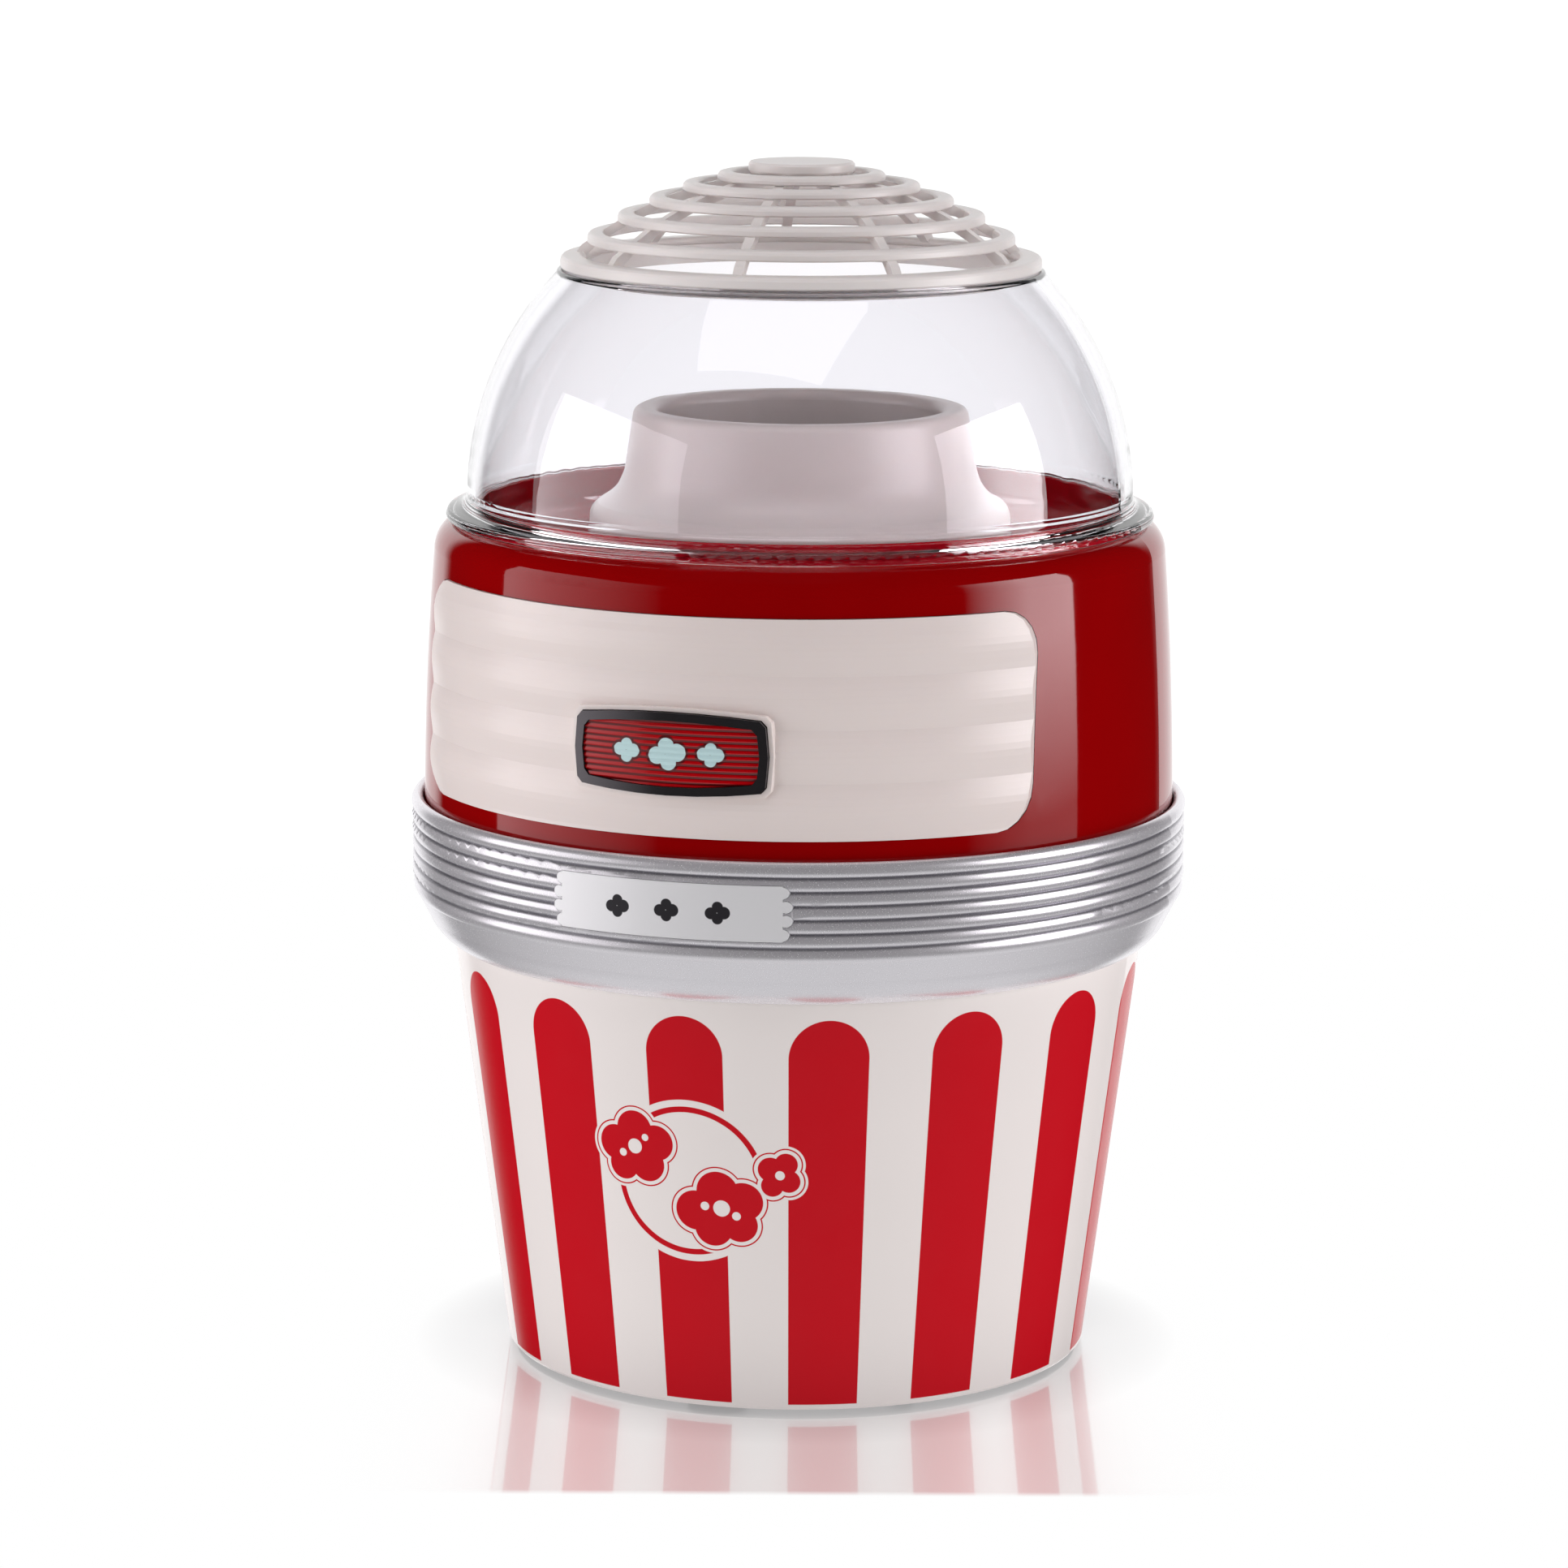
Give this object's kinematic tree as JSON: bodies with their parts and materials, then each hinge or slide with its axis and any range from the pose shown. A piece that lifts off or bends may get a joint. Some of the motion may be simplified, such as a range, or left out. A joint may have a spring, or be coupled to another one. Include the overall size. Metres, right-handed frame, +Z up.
{
  "type": "hot-air popcorn maker",
  "caption": "Free-standing hot-air popcorn maker: tapered cup base, fluted housing, popping chamber with a chute, and a clear dome under a vented lift-off lid.",
  "frame": {"origin": "on the table, under the middle of the base", "axes": "+Z up, the front with the badge faces -Y, +X to the front's right"},
  "size_m": [0.2154, 0.2154, 0.332],
  "materials": {
    "warm_white_plastic": "smooth, with printed red stripes and a round emblem",
    "grey_plastic": "fine texture",
    "rubber": "matte",
    "zinc_steel": "zinc plated",
    "satin_silver": "satin metallic paint",
    "plate_silver": "satin",
    "red_plastic": "high gloss",
    "cream_plastic": "smooth satin",
    "dark_chrome": "dark, polished",
    "badge_red": "glossy, ribbed",
    "beige_plastic": "smooth satin",
    "silicone": "matte",
    "chamber_aluminium": "drawn, dull",
    "duct_steel": "galvanised",
    "mica": "layered sheet",
    "heater_wire_metal": "oxidised",
    "black_plastic": "fine texture",
    "magnet_ceramic": "ground",
    "brass": "plain",
    "carbon": "matte carbon",
    "copper_winding": "enamelled copper",
    "board_green": "solder mask",
    "ivory_plastic": "plain",
    "switch_red": "smooth",
    "wire_brown": "smooth",
    "wire_white": "smooth",
    "wire_blue": "smooth",
    "clear_dome": "clear moulded plastic, polished"
  },
  "bodies": {
    "appliance": {"base_cup": "warm_white_plastic", "bottom_cover": "grey_plastic", "rubber_feet": "rubber", "cover_screws": "zinc_steel", "body_screws": "zinc_steel", "trim_band": "satin_silver", "nameplate": "plate_silver", "upper_housing": "red_plastic", "front_panel": "cream_plastic", "badge_frame": "dark_chrome", "badge_insert": "badge_red", "popcorn_tray": "red_plastic", "tray_screws": "zinc_steel", "chute": "beige_plastic", "chute_screws": "zinc_steel", "chamber_seal": "silicone", "popping_chamber": "chamber_aluminium", "air_duct": "duct_steel", "duct_screws": "zinc_steel", "mica_former": "mica", "heater_coil": "heater_wire_metal", "thermostat": "black_plastic", "thermal_fuse": "zinc_steel", "motor_bracket": "duct_steel", "bracket_screws": "zinc_steel", "motor_can": "duct_steel", "motor_end_cap": "black_plastic", "motor_screws": "zinc_steel", "motor_magnets": "magnet_ceramic", "motor_bushes": "brass", "motor_brushes": "carbon", "rectifier_board": "board_green", "rectifier_diodes": "black_plastic", "terminal_block": "ivory_plastic", "rear_plate": "warm_white_plastic", "switch_body": "black_plastic", "cord_gland": "black_plastic", "live_wire": "wire_brown", "switched_wire": "wire_brown", "heater_wire": "wire_white", "neutral_wire": "wire_blue"},
    "dome": {"dome": "clear_dome"},
    "vent_lid": {"vent_lid": "cream_plastic"},
    "rocker": {"switch_rocker": "switch_red"},
    "rotor": {"motor_shaft": "zinc_steel", "motor_armature": "copper_winding", "motor_commutator": "copper_winding", "fan": "black_plastic", "fan_nut": "zinc_steel"}
  },
  "joints": [
    {"name": "dome_lift", "type": "slide", "parent": "appliance", "child": "dome", "axis": [0, 0, 1], "range_m": [0, 0.12]},
    {"name": "lid_lift", "type": "slide", "parent": "dome", "child": "vent_lid", "axis": [0, 0, 1], "range_m": [0, 0.06]},
    {"name": "fan_spin", "type": "hinge", "parent": "appliance", "child": "rotor", "pos_m": [0, 0, 0.1], "axis": [0, 0, 1], "continuous": true},
    {"name": "switch_rock", "type": "hinge", "parent": "appliance", "child": "rocker", "pos_m": [0, 0.08808, 0.04778], "axis": [-1, 0, 0], "range_deg": [0, 20]}
  ]
}
